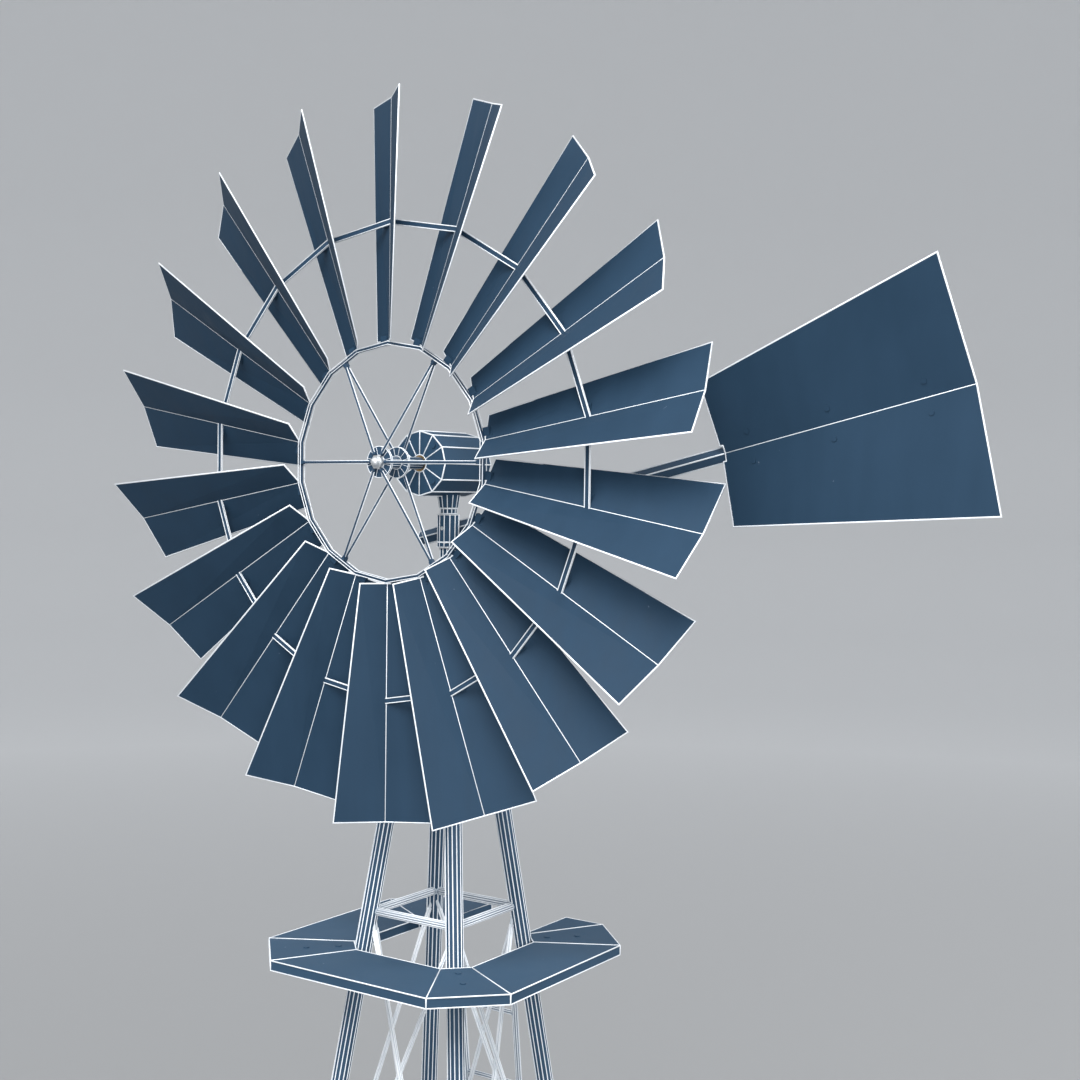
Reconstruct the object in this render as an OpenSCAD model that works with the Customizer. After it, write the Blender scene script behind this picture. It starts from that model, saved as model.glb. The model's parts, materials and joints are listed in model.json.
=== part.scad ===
// Garden windmill: a many-bladed wheel and a folded tail vane on a swivelling head,
// carried by a braced four-legged tube tower with a walkway and a ladder.
// Millimetres, +Z up. The wheel faces -Y. The origin is on the ground, on the swivel axis.

/* [Wheel] */
// Radius of the wheel at the blades' crease line
wheel_r = 350; // [348:1:352]
// Number of blades, each in a node of its own
blade_count = 18; // [18:1:18]
// Radius at the blades' inner ends
blade_root_r = 117.5; // [117.3:0.1:118]
// Width of a blade across its outer end
tip_chord = 100; // [90:1:101]
// Width of a blade across its inner end
root_chord = 52; // [48:1:56]
// Angle of the blades from the plane of the wheel
blade_pitch = 36.5; // [34:0.5:37]
// Depth of the fold along each blade
blade_fold = 5.4; // [4:0.1:6]
// Thickness of the blade sheet
blade_t = 1; // [0.8:0.1:1.2]
// Radius of the outer ring at its corners
outer_ring_r = 231.7; // [220:0.1:240]
// Radial height of the outer ring's flat bar
outer_ring_h = 4.8; // [4:0.1:6]
// Radius of the inner ring at its corners
inner_ring_r = 115.2; // [114.8:0.1:115.4]
// Radial height of the inner ring's flat bar
inner_ring_h = 3; // [2.5:0.1:3.2]
// Thickness of both rings' flat bar
ring_t = 1.6; // [1.2:0.1:1.8]
// Diameter of the spokes
spoke_d = 2.3; // [2:0.1:2.4]
// Number of spokes in the front set and in the rear set
spoke_count = 6; // [6:1:6]

/* [Hub and head] */
// Distance of the wheel's plane in front of the swivel axis
wheel_forward = 96; // [96:1:110]
// Height of the wheel's axis above the ground
hub_h = 2050; // [2040:1:2060]
// Radius of the two hub flanges
flange_r = 15; // [14:0.5:16]
// Distance from the wheel's plane to each flange's outer face
flange_out = 14; // [13:0.5:15]
// Diameter of the main shaft
shaft_d = 10; // [9:0.5:10]
// Diameter of the hub sleeve
hub_tube_d = 12.2; // [12:0.1:13]
// Radius of the twelve-sided gear case at its corners
case_r = 32.2; // [31:0.1:34]
// Length of the gear case in front of the swivel axis, cover included
case_front = 48; // [46:1:50]
// Length of the gear case behind the swivel axis, cover included
case_rear = 28; // [28:1:34]
// Wall of the gear case and thickness of its covers
case_wall = 3; // [2.5:0.5:3]
// Outside diameter of the mast tube
mast_d = 17; // [17:0.1:17]
// Wall of the mast tube
mast_wall = 2; // [1.5:0.5:2.5]

/* [Tail] */
// Rise of the tail boom from the horizontal
tail_rise = 13.75; // [12:0.25:15]
// Depth of the boom below the wheel's axis, at the swivel axis
boom_drop = 65; // [64:1:67]
// Length of the boom on the short side of the mast
boom_back = 51; // [30:1:52]
// Width of each leg of the boom's angle section
boom_leg = 10; // [9:0.1:11]
// Thickness of the boom's angle section
boom_t = 1.5; // [1.2:0.1:1.8]
// Distance along the boom to the vane's near edge
vane_start = 315.5; // [310:0.5:330]
// Length of the vane along its crease
vane_len = 242; // [235:0.5:245]
// Height of each half of the vane at its near edge
vane_near_h = 68.5; // [64:0.1:70]
// Height of each half of the vane at its far edge
vane_far_h = 113.5; // [108:0.5:116]
// Fold of the vane's upper half towards the front
vane_fold_up = 14; // [9:1:15]
// Fold of the vane's lower half towards the front
vane_fold_low = 6; // [5:1:9]
// Thickness of the vane sheet
vane_t = 1; // [0.8:0.1:1.2]

/* [Tower] */
// Outward lean of each leg along X and along Y, per unit of height
lean = 0.1185; // [0.116:0.0005:0.1185]
// Outside diameter of the leg tubes
leg_d = 17; // [16.5:0.1:17]
// Wall of the leg tubes
leg_wall = 1.5; // [1.2:0.1:2]
// Depth of the legs' top ends below the wheel's axis
leg_top_drop = 162; // [161:1:164]
// Number of brace rings
brace_count = 4; // [4:1:4]
// Depth of the top brace ring below the wheel's axis
brace_top_drop = 455; // [450:1:460]
// Spacing of the brace rings
brace_pitch = 430; // [428:1:432]
// Diameter of the brace tubes
brace_d = 7; // [6:0.5:7]
// Diameter of the cross rods
rod_d = 3.5; // [3:0.1:3.6]
// Hole for a ground bolt in each foot plate
foot_hole_d = 9; // [8:0.5:10]
// Distance between the ground bolts, both ways
foot_pitch = 540; // [536:1:544]

/* [Walkway and ladder] */
// Depth of the walkway's top below the wheel's axis
deck_drop = 490; // [488:1:492]
// Half of the walkway's outer width
deck_half = 152.5; // [146:0.5:154]
// Half of the walkway's outer straight sides
deck_side = 97; // [90:1:100]
// Half of the well in the walkway
well_half = 75; // [72:0.5:76]
// Half of the well's straight sides
well_side = 53.5; // [52:0.5:54]
// Depth of the walkway's skirts
deck_depth = 10.2; // [9:0.2:11]
// Half of the ladder gap in the rear of the walkway
gap_half = 50; // [48:0.5:51]
// Half of the distance between the ladder rails
ladder_half = 34.5; // [32:0.5:36]
// Diameter of the ladder rails
rail_d = 6; // [5:0.5:6]
// Diameter of the ladder rungs
rung_d = 4.5; // [4:0.5:5]
// Spacing of the ladder rungs
rung_pitch = 79; // [78:0.5:80]
// Number of ladder rungs
rung_count = 19; // [10:1:19]

/* [Hidden] */
// Running clearance between a turning piece and its bearing, on the radius
run_gap = 0.05;
// Gap between pieces that are welded or bolted together
seat_gap = 0.1;
round_fn = 64;
wire_fn = 32;
far = 400;

blade_step = 360 / blade_count;
blade_len = wheel_r - blade_root_r;
wheel_y = -wheel_forward;
shaft_r = shaft_d / 2;
mast_r = mast_d / 2;
leg_r = leg_d / 2;
rail_r = rail_d / 2;
brace_r = brace_d / 2;
corners = [[-1, -1], [1, -1], [1, 1], [-1, 1]];

// Tower cap and swivel, as depths below the wheel's axis
cap_top_drop = 155;
cap_plate_t = 5;
cap_plate_r = 38;
cap_sleeve_r = 14;
cap_bottom_drop = 240;
cap_web_t = 7;
cap_bolt_drops = [186, 222];
cap_bolt_r = 2;
cap_bolt_start = 16;
cap_bolt_head_r = 4;
cap_bolt_head_h = 3;
bush_r = 11;
bush_len = 26;
bush_flange_r = 14;
bush_flange_t = 3;
washer_t = 1.5;
collar_r = 14;
collar_h = 10;
mast_bottom_drop = 250;
mast_top_drop = 20;
cap_top = hub_h - cap_top_drop;
cap_bottom = hub_h - cap_bottom_drop;

// Bearings, collars and covers in the gear case
bearing_r = 8;
bearing_flange_r = 12;
bearing_len = 12;
bearing_flange_t = 3;
shaft_collar_r = 9;
shaft_collar_l = 6;
end_play = 0.3;
case_front_y = -case_front;
case_rear_y = case_rear;
cover_screw_r = 25;
cover_screw_d = 3;
screw_head_r = 2.6;
screw_head_h = 1.6;
screw_len = 6;
spigot_r = 27.8;
spigot_bore_r = 20;
spigot_len = 3.2;

// Sleeve that flares out under the gear case
flare_drop = 44.5;
flare_h = 16.5;
flare_low_r = 9.4;
flare_top_r = 12;

// Wheel: flanges, lugs for the spokes and slots for the outer ring
flange_t = 2;
spoke_inner_r = 8.6;
spoke_inner_y = 16.3;
spoke_off_plane = 1.7;
lug_w = 3.4;
lug_depth = 6.2;
lug_h = 4.4;
lug_inner_r = (inner_ring_r - inner_ring_h / 2) * cos(180 / blade_count) - 3.4;
slot_w = 7.2;
slot_depth = 2.2;
blade_clip_w = 7;
blade_clip_t = 1;
nut_r = 7.2;
nut_h = 4;
nut_cap_r = 5.2;
nut_dome_r = 4.8;

// Tail collar
tail_collar_r = 11;
tail_collar_h = 28;
boom_y = tail_collar_r + seat_gap;
clip_width = 10;
clip_t = 1.2;
clip_stations = [30, 110, 200];
clip_reach = 18;
notch_half = 7.5;
notch_len = 3;
clip_foot = 14;
rivet_r = 1.5;
rivet_hole_r = 1.6;
rivet_head_r = 2.5;
clamp_r = 2;
clamp_key_r = 1.15;

// Feet
foot_half = 36;
foot_t = 4;
foot_inset = 12;
socket_r = 11;
socket_h = 32;

// Walkway
deck_sheet = 2;
arm_w = 8;
arm_h = 6;
arm_reach = 150;
arm_bolts = [108, 140];
arm_bolt_r = 1.5;
arm_hole_r = 1.6;
arm_head_r = 3;
arm_head_h = 0.9;
deck_top = hub_h - deck_drop;
deck_bottom = deck_top - deck_depth;
deck_under = deck_top - deck_sheet;

// Braces and ladder
brace_inset = 2.5;
rod_offset = 1.9;
rod_end_gap = 6;
rod_inset = 3.5;
ladder_clip_half = 4;
ladder_clip_h = 10;
ladder_clip_wall = 2;
ladder_off = 11;
ladder_top_drop = 535;
ladder_foot = 30;
top_rung_drop = 579;
brace_top = hub_h - brace_top_drop;

steel_blue = [0.25, 0.34, 0.44];
pale_steel = [0.42, 0.5, 0.58];
dark_steel = [0.2, 0.26, 0.33];
bronze = [0.65, 0.5, 0.3];
zinc = [0.72, 0.75, 0.78];

// ---------- shared shapes ----------

// Half-width of the tower, to the legs' centre lines, at height z
function half_at(z) = lean * (hub_h - z);
// Point on a leg's centre line
function leg_point(c, z) = [c[0] * half_at(z), c[1] * half_at(z), z];
// Distance from the swivel axis to a leg's centre line, along the diagonal
function reach_at(z) = half_at(z) * sqrt(2);
// Direction of a corner, as an angle about Z
function corner_angle(c) = atan2(c[1], c[0]);
function brace_z(i) = brace_top - i * brace_pitch;
function rung_z(i) = hub_h - top_rung_drop - i * rung_pitch;
function ladder_point(side, z) = [side * ladder_half, half_at(z) + ladder_off, z];

// Regular polygon whose first corner points along +Y
function ngon(n, r) = [for (i = [0:n - 1]) [r * sin(i * 360 / n), r * cos(i * 360 / n)]];

// Square with its corners cut off
function octagon(w, k) =
    [[w, k], [k, w], [-k, w], [-w, k], [-w, -k], [-k, -w], [k, -w], [w, -k]];

// Round bar from p to q
module bar(p, q, d, fn = wire_fn) {
    v = q - p;
    l = norm(v);
    translate(p)
        rotate([0, acos(v[2] / l), atan2(v[1], v[0])])
            cylinder(h = l, d = d, $fn = fn);
}

// Round tube from p to q, its bore run past both ends
module pipe(p, q, d, bore) {
    u = (q - p) / norm(q - p);
    difference() {
        bar(p, q, d, round_fn);
        bar(p - u, q + u, bore, round_fn);
    }
}

// The room that a leg takes up, with a gap all round
module leg_room(c, gap) {
    bar(leg_point(c, -20), leg_point(c, hub_h - leg_top_drop + 20), leg_d + 2 * gap, round_fn);
}

module all_leg_room(gap) {
    for (c = corners)
        leg_room(c, gap);
}

// Ring lying in the wheel's plane, with straight sides
module wheel_ring(r, h) {
    translate([0, wheel_y + ring_t / 2, hub_h])
        rotate([90, 0, 0])
            linear_extrude(height = ring_t)
                difference() {
                    polygon(ngon(blade_count, r + h / 2));
                    polygon(ngon(blade_count, r - h / 2));
                }
}

// Disc or tube on the wheel's axis, from y0 to y1
module on_axis(y0, y1, r, fn = round_fn) {
    translate([0, y0, hub_h])
        rotate([-90, 0, 0])
            cylinder(h = y1 - y0, r = r, $fn = fn);
}

module axis_tube(y0, y1, r, bore_r) {
    difference() {
        on_axis(y0, y1, r);
        on_axis(y0 - 1, y1 + 1, bore_r);
    }
}

// Tube on the swivel axis, from z0 to z1
module mast_ring(z0, z1, r, bore_r) {
    translate([0, 0, z0])
        difference() {
            cylinder(h = z1 - z0, r = r, $fn = round_fn);
            translate([0, 0, -1])
                cylinder(h = z1 - z0 + 2, r = bore_r, $fn = round_fn);
        }
}

// ---------- tower ----------

module leg(c) {
    color(steel_blue)
        difference() {
            pipe(leg_point(c, foot_t + 2), leg_point(c, hub_h - leg_top_drop),
                 leg_d, leg_d - 2 * leg_wall);
            for (d = cap_bolt_drops)
                cap_bolt_hole(c, d);
        }
}

module cap_bolt_hole(c, drop) {
    translate([0, 0, hub_h - drop])
        rotate([0, 90, corner_angle(c)])
            translate([0, 0, cap_bolt_start - 2 * seat_gap])
                cylinder(h = 60, r = cap_bolt_r + seat_gap, $fn = wire_fn);
}

module cap_bolt(c, drop) {
    seat = reach_at(hub_h - drop) + leg_r + 1;
    translate([0, 0, hub_h - drop])
        rotate([0, 90, corner_angle(c)]) {
            translate([0, 0, cap_bolt_start])
                cylinder(h = seat - cap_bolt_start + 0.1, r = cap_bolt_r, $fn = wire_fn);
            translate([0, 0, seat])
                cylinder(h = cap_bolt_head_h, r = cap_bolt_head_r, $fn = 6);
        }
}

module cap_bolts() {
    color(zinc)
        for (c = corners)
            for (d = cap_bolt_drops)
                cap_bolt(c, d);
}

module foot_plate(c) {
    base = leg_point(c, 0);
    difference() {
        union() {
            translate([c[0] * (foot_pitch / 2 - foot_inset) - foot_half,
                       c[1] * (foot_pitch / 2 - foot_inset) - foot_half, 0])
                cube([2 * foot_half, 2 * foot_half, foot_t]);
            intersection() {
                bar(leg_point(c, -20), leg_point(c, socket_h), 2 * socket_r, round_fn);
                translate([base[0] - 30, base[1] - 30, foot_t / 2])
                    cube([60, 60, 60]);
            }
        }
        intersection() {
            bar(leg_point(c, -20), leg_point(c, socket_h + 20),
                leg_d + 2 * seat_gap, round_fn);
            translate([base[0] - 30, base[1] - 30, foot_t])
                cube([60, 60, 90]);
        }
        translate([c[0] * foot_pitch / 2, c[1] * foot_pitch / 2, -1])
            cylinder(h = foot_t + 2, d = foot_hole_d, $fn = round_fn);
    }
}

module foot_plates() {
    color(dark_steel)
        for (c = corners)
            foot_plate(c);
}

module tower_cap() {
    color(dark_steel)
        difference() {
            union() {
                translate([0, 0, cap_top - cap_plate_t])
                    cylinder(h = cap_plate_t, r = cap_plate_r, $fn = round_fn);
                translate([0, 0, cap_bottom])
                    cylinder(h = cap_top - cap_bottom - 1, r = cap_sleeve_r, $fn = round_fn);
                for (c = corners)
                    rotate([0, 0, corner_angle(c)])
                        translate([cap_sleeve_r - 1, -cap_web_t / 2, cap_bottom + 3])
                            cube([26, cap_web_t, cap_top - cap_bottom - 5]);
            }
            translate([0, 0, cap_bottom - 1])
                cylinder(h = cap_top - cap_bottom + 2, r = bush_r + run_gap, $fn = round_fn);
            for (c = corners) {
                bar(leg_point(c, cap_bottom - 40), leg_point(c, cap_top - cap_plate_t - 0.5),
                    leg_d + 2 * seat_gap, round_fn);
                cap_trim(c);
                for (d = cap_bolt_drops)
                    cap_bolt_hole(c, d);
            }
        }
}

// Cuts the web off behind the leg, below the top plate
module cap_trim(c) {
    rotate([0, 0, corner_angle(c)])
        translate([reach_at(cap_top - cap_plate_t), -10, cap_bottom - 5])
            cube([40, 20, cap_top - cap_plate_t - cap_bottom + 5]);
}

module mast_bushes() {
    color(bronze) {
        mast_ring(cap_top - bush_len, cap_top, bush_r, mast_r + run_gap);
        mast_ring(cap_top + seat_gap, cap_top + bush_flange_t, bush_flange_r,
                  mast_r + run_gap);
        mast_ring(cap_bottom, cap_bottom + bush_len, bush_r, mast_r + run_gap);
    }
}

module thrust_washer() {
    z = cap_top + bush_flange_t + seat_gap;
    color(zinc)
        mast_ring(z, z + washer_t, bush_flange_r, mast_r + 3 * run_gap);
}

// One square of four tubes between the legs
module brace_ring(z) {
    h = half_at(z);
    for (a = [0:90:270])
        rotate([0, 0, a])
            difference() {
                bar([-h, brace_inset - h, z], [h, brace_inset - h, z], brace_d);
                for (c = [[-1, -1], [1, -1]])
                    bar(leg_point(c, z - 30), leg_point(c, z + 30),
                        leg_d + 2 * seat_gap, round_fn);
            }
}

module brace_rings() {
    color(pale_steel)
        for (i = [0:brace_count - 1])
            brace_ring(brace_z(i));
}

// Two rods that cross on the face of one bay, one in front of the other
module rod_pair(z0, z1) {
    w0 = half_at(z0) - rod_inset;
    w1 = half_at(z1) - rod_inset;
    y0 = brace_inset - half_at(z0);
    y1 = brace_inset - half_at(z1);
    for (s = [-1, 1])
        difference() {
            bar([s * w0, y0 + s * rod_offset, z0], [-s * w1, y1 + s * rod_offset, z1], rod_d);
            for (c = [[-1, -1], [1, -1]])
                bar(leg_point(c, z0 + 60), leg_point(c, z1 - 60),
                    leg_d + 2 * seat_gap, round_fn);
        }
}

module cross_rods() {
    color(pale_steel)
        for (i = [0:brace_count - 2])
            for (a = [0:90:270])
                rotate([0, 0, a])
                    rod_pair(brace_z(i) - rod_end_gap, brace_z(i + 1) + rod_end_gap);
}

// ---------- walkway ----------

// Angle of the bisector of an octagon's corner p
function mitre_angle(p) = 22.5 + 45 * floor(atan2(p[1], p[0]) / 45);

// Walkway outline drawn in by w on every edge
module deck_outline(w) {
    cut = (sqrt(2) - 1) * w;
    difference() {
        polygon(octagon(deck_half - w, deck_side - cut));
        polygon(octagon(well_half + w, well_side + cut));
        translate([-gap_half - w, 0])
            square([2 * (gap_half + w), deck_half + 10]);
    }
}

module deck_bolt_holes() {
    for (c = corners)
        rotate([0, 0, corner_angle(c)])
            for (x = arm_bolts)
                translate([x, 0, deck_bottom])
                    cylinder(h = 20, r = arm_hole_r, $fn = wire_fn);
}

module walkway_deck() {
    color(pale_steel)
        difference() {
            translate([0, 0, deck_under])
                linear_extrude(height = deck_sheet)
                    deck_outline(0);
            for (c = corners)
                bar(leg_point(c, deck_bottom - 30), leg_point(c, deck_top + 30),
                    leg_d + 1, round_fn);
            deck_bolt_holes();
        }
}

// Saw cut through the skirts at a corner, along the corner's bisector
module mitre(p, turn) {
    translate([p[0], p[1], deck_bottom - 1])
        rotate([0, 0, turn])
            translate([-4, -seat_gap / 2, 0])
                cube([8, seat_gap, deck_depth + 2]);
}

// Flat bars on edge under the sheet: along the outer edge, the well and the ladder gap
module walkway_skirts() {
    outer = octagon(deck_half, deck_side);
    inner = octagon(well_half, well_side);
    color(pale_steel)
        difference() {
            translate([0, 0, deck_bottom])
                linear_extrude(height = deck_depth - deck_sheet - seat_gap)
                    difference() {
                        deck_outline(0);
                        deck_outline(deck_sheet);
                    }
            for (p = concat(outer, inner))
                mitre(p, mitre_angle(p));
            for (s = [-1, 1])
                for (y = [well_half, deck_half])
                    mitre([s * gap_half, y], y > well_half ? -s * 45 : s * 45);
            for (c = corners) {
                bar(leg_point(c, deck_bottom - 30), leg_point(c, deck_top + 30),
                    leg_d + 1, round_fn);
                rotate([0, 0, corner_angle(c)])
                    translate([reach_at(deck_top), -arm_w / 2 - 0.5, deck_bottom - 1])
                        cube([20, arm_w + 1, deck_depth]);
            }
        }
}

module walkway_arms() {
    color(dark_steel)
        for (c = corners)
            difference() {
                rotate([0, 0, corner_angle(c)])
                    difference() {
                        translate([reach_at(deck_top), -arm_w / 2,
                                   deck_under - seat_gap - arm_h])
                            cube([arm_reach - reach_at(deck_top), arm_w, arm_h]);
                        for (x = arm_bolts)
                            translate([x, 0, deck_bottom - 5])
                                cylinder(h = 20, r = arm_hole_r, $fn = wire_fn);
                    }
                bar(leg_point(c, deck_bottom - 30), leg_point(c, deck_top + 30),
                    leg_d + 2 * seat_gap, round_fn);
            }
}

module walkway_bolts() {
    color(steel_blue)
        for (c = corners)
            rotate([0, 0, corner_angle(c)])
                for (x = arm_bolts)
                    translate([x, 0, 0]) {
                        translate([0, 0, deck_bottom + 0.6])
                            cylinder(h = deck_depth - 0.4, r = arm_bolt_r, $fn = wire_fn);
                        translate([0, 0, deck_top + seat_gap])
                            cylinder(h = arm_head_h, r = arm_head_r, $fn = wire_fn);
                    }
}

// ---------- ladder ----------

module ladder_rails() {
    color(pale_steel)
        for (s = [-1, 1])
            bar(ladder_point(s, ladder_foot), ladder_point(s, hub_h - ladder_top_drop), rail_d);
}

module ladder_rungs() {
    color(pale_steel)
        for (i = [0:rung_count - 1])
            difference() {
                bar(ladder_point(-1, rung_z(i)), ladder_point(1, rung_z(i)), rung_d);
                for (s = [-1, 1])
                    bar(ladder_point(s, rung_z(i) - 15), ladder_point(s, rung_z(i) + 15),
                        rail_d + 2 * seat_gap);
            }
}

module ladder_clip(side, z) {
    y = half_at(z) - brace_inset;
    difference() {
        translate([side * ladder_half - ladder_clip_half, y - brace_r - ladder_clip_wall,
                   z - ladder_clip_h / 2])
            cube([2 * ladder_clip_half,
                  ladder_off + brace_inset + brace_r + rail_r + 2 * ladder_clip_wall,
                  ladder_clip_h]);
        bar([-far, y, z], [far, y, z], brace_d + 2 * seat_gap);
        bar(ladder_point(side, z - 40), ladder_point(side, z + 40), rail_d + 2 * seat_gap);
    }
}

module ladder_clips() {
    color(dark_steel)
        for (s = [-1, 1])
            for (i = [1:brace_count - 1])
                ladder_clip(s, brace_z(i));
}

// ---------- head ----------

module mast() {
    color(steel_blue)
        mast_ring(hub_h - mast_bottom_drop, hub_h - mast_top_drop, mast_r,
                  mast_r - mast_wall);
}

// The ring that carries the head, the ring that keeps it down and the tail's rest ring
module mast_collars() {
    rest = cap_top + bush_flange_t + washer_t + 3 * seat_gap;
    tail_low = hub_h - boom_drop - tail_collar_h / 2;
    color(steel_blue) {
        mast_ring(rest, rest + collar_h, collar_r, mast_r + run_gap);
        mast_ring(hub_h - mast_bottom_drop, cap_bottom - 1, collar_r, mast_r + run_gap);
        mast_ring(tail_low - 5 - end_play, tail_low - end_play, tail_collar_r,
                  mast_r + run_gap);
    }
}

module case_prism(y0, y1, r) {
    translate([0, y0, hub_h])
        rotate([-90, 0, 0])
            cylinder(h = y1 - y0, r = r, $fn = 12);
}

module mast_flare() {
    color(steel_blue)
        difference() {
            translate([0, 0, hub_h - flare_drop])
                cylinder(h = flare_h, r1 = flare_low_r, r2 = flare_top_r, $fn = round_fn);
            translate([0, 0, hub_h - flare_drop - 10])
                cylinder(h = flare_h + 20, r = mast_r + run_gap, $fn = round_fn);
            case_prism(case_front_y, case_rear_y, case_r + seat_gap);
        }
}

module gear_case() {
    y0 = case_front_y + case_wall + seat_gap;
    y1 = case_rear_y - case_wall - seat_gap;
    color(steel_blue)
        difference() {
            case_prism(y0, y1, case_r);
            case_prism(y0 - 1, y1 + 1, case_r - case_wall);
            translate([0, 0, hub_h - 50])
                cylinder(h = 40, r = mast_r + seat_gap, $fn = round_fn);
        }
}

// Places its children at the four cover screws of one end
module at_cover_screws(y, turn) {
    for (a = [45:90:315])
        translate([cover_screw_r * cos(a), y, hub_h + cover_screw_r * sin(a)])
            rotate([turn, 0, 0])
                children();
}

// A lid that closes one end of the case, with a spigot ring inside it
module cover(y0, spigot_y) {
    difference() {
        union() {
            case_prism(y0, y0 + case_wall, case_r);
            on_axis(spigot_y, spigot_y + spigot_len, spigot_r);
        }
        on_axis(y0 - 10, y0 + 15, bearing_r + run_gap);
        on_axis(spigot_y - (spigot_y < y0 ? 5 : -0.2), spigot_y + (spigot_y < y0 ? 3 : 8),
                spigot_bore_r);
        at_cover_screws(y0 - 10, -90)
            cylinder(h = 30, r = cover_screw_d / 2 + 0.1, $fn = wire_fn);
    }
}

module front_cover() {
    color(steel_blue)
        cover(case_front_y, case_front_y + case_wall - 0.2);
}

module rear_cover() {
    color(steel_blue)
        cover(case_rear_y - case_wall, case_rear_y - case_wall - 3);
}

module cover_screw() {
    cylinder(h = screw_head_h, r = screw_head_r, $fn = wire_fn);
    translate([0, 0, -screw_len])
        cylinder(h = screw_len + 0.1, r = cover_screw_d / 2, $fn = wire_fn);
}

module cover_screws() {
    color(steel_blue) {
        at_cover_screws(case_front_y - seat_gap, 90)
            cover_screw();
        at_cover_screws(case_rear_y + seat_gap, -90)
            cover_screw();
    }
}

module front_bearing() {
    y0 = case_front_y;
    color(bronze)
        difference() {
            union() {
                on_axis(y0, y0 + bearing_len, bearing_r);
                on_axis(y0 + case_wall + seat_gap, y0 + case_wall + bearing_flange_t,
                        bearing_flange_r);
            }
            on_axis(y0 - 1, y0 + bearing_len + 1, shaft_r + run_gap);
        }
}

module rear_bearing() {
    y1 = case_rear_y;
    color(bronze)
        difference() {
            union() {
                on_axis(y1 - bearing_len, y1, bearing_r);
                on_axis(y1 - case_wall - bearing_flange_t, y1 - case_wall - seat_gap,
                        bearing_flange_r);
            }
            on_axis(y1 - bearing_len - 1, y1 - 1.5, shaft_r + run_gap);
        }
}

// ---------- wheel ----------

module main_shaft() {
    color(zinc)
        on_axis(wheel_y - flange_out - 3, case_rear_y - 2, shaft_r);
}

module shaft_collars() {
    front = case_front_y + bearing_len + end_play;
    rear = case_rear_y - bearing_len - end_play;
    color(zinc) {
        axis_tube(front, front + shaft_collar_l, shaft_collar_r, shaft_r + run_gap);
        axis_tube(rear - shaft_collar_l, rear, shaft_collar_r, shaft_r + run_gap);
    }
}

module hub_sleeve() {
    color(steel_blue)
        axis_tube(wheel_y - flange_out, case_front_y - end_play, hub_tube_d / 2,
                  shaft_r + run_gap);
}

module flange(y0) {
    axis_tube(y0, y0 + flange_t, flange_r, hub_tube_d / 2 + run_gap);
}

module hub_flanges() {
    color(pale_steel) {
        flange(wheel_y - flange_out);
        flange(wheel_y + flange_out - flange_t);
    }
}

// A spoke from the outer face of a flange, near the nut, to the lug on the inner ring
module spoke(angle, side) {
    translate([0, wheel_y, hub_h])
        rotate([0, angle, 0])
            bar([0, side * spoke_inner_y, spoke_inner_r],
                [0, side * spoke_off_plane, lug_inner_r - seat_gap], spoke_d);
}

module spokes() {
    color(pale_steel)
        for (i = [0:spoke_count - 1])
            for (side = [-1, 1])
                spoke(30 + i * 360 / spoke_count, side);
}

module outer_ring() {
    color(pale_steel)
        wheel_ring(outer_ring_r, outer_ring_h);
}

module inner_ring() {
    color(pale_steel)
        union() {
            wheel_ring(inner_ring_r, inner_ring_h);
            for (i = [0:spoke_count - 1])
                translate([0, wheel_y, hub_h])
                    rotate([0, 30 + i * 360 / spoke_count, 0])
                        translate([-lug_w / 2, -lug_depth / 2, lug_inner_r])
                            cube([lug_w, lug_depth, lug_h]);
        }
}

// Corner of the blade's folded section at fraction f of its length: [across, fore and aft].
// side is -1 at the leading edge, 0 at the crease and 1 at the trailing edge.
function blade_xy(f, side) =
    let (w = (root_chord + (tip_chord - root_chord) * f) / 2)
    abs(side) * [-side * w * cos(blade_pitch) - blade_fold * sin(blade_pitch),
                 side * w * sin(blade_pitch) - blade_fold * cos(blade_pitch)];

// The same corner, moved through half of the sheet's thickness towards face
function blade_corner(f, side, face) =
    let (p = blade_xy(f, side))
    [p[0] + face * blade_t / 2 * sin(blade_pitch),
     p[1] + face * blade_t / 2 * cos(blade_pitch),
     blade_root_r + f * blade_len];

// The folded sheet: three corners on each face, at the inner and the outer end
module blade_sheet() {
    points = [for (f = [0, 1]) for (face = [-1, 1]) for (side = [-1, 0, 1])
              blade_corner(f, side, face)];
    ends = [[0, 4, 1], [0, 3, 4], [1, 5, 2], [1, 4, 5],
            [6, 7, 10], [6, 10, 9], [7, 8, 11], [7, 11, 10]];
    front_faces = [[0, 7, 6], [0, 1, 7], [1, 8, 7], [1, 2, 8]];
    rear_faces = [[3, 9, 10], [3, 10, 4], [4, 10, 11], [4, 11, 5]];
    edges = [[0, 9, 3], [0, 6, 9], [2, 11, 8], [2, 5, 11]];
    polyhedron(points = points, faces = concat(ends, front_faces, rear_faces, edges));
}

module blade(i) {
    color(steel_blue)
        translate([0, wheel_y, hub_h])
            rotate([0, i * blade_step, 0])
                difference() {
                    blade_sheet();
                    translate([-slot_w / 2, -slot_depth / 2,
                               outer_ring_r - outer_ring_h / 2 - 1.1])
                        cube([slot_w, slot_depth, outer_ring_h + 1.6]);
                }
}

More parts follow.
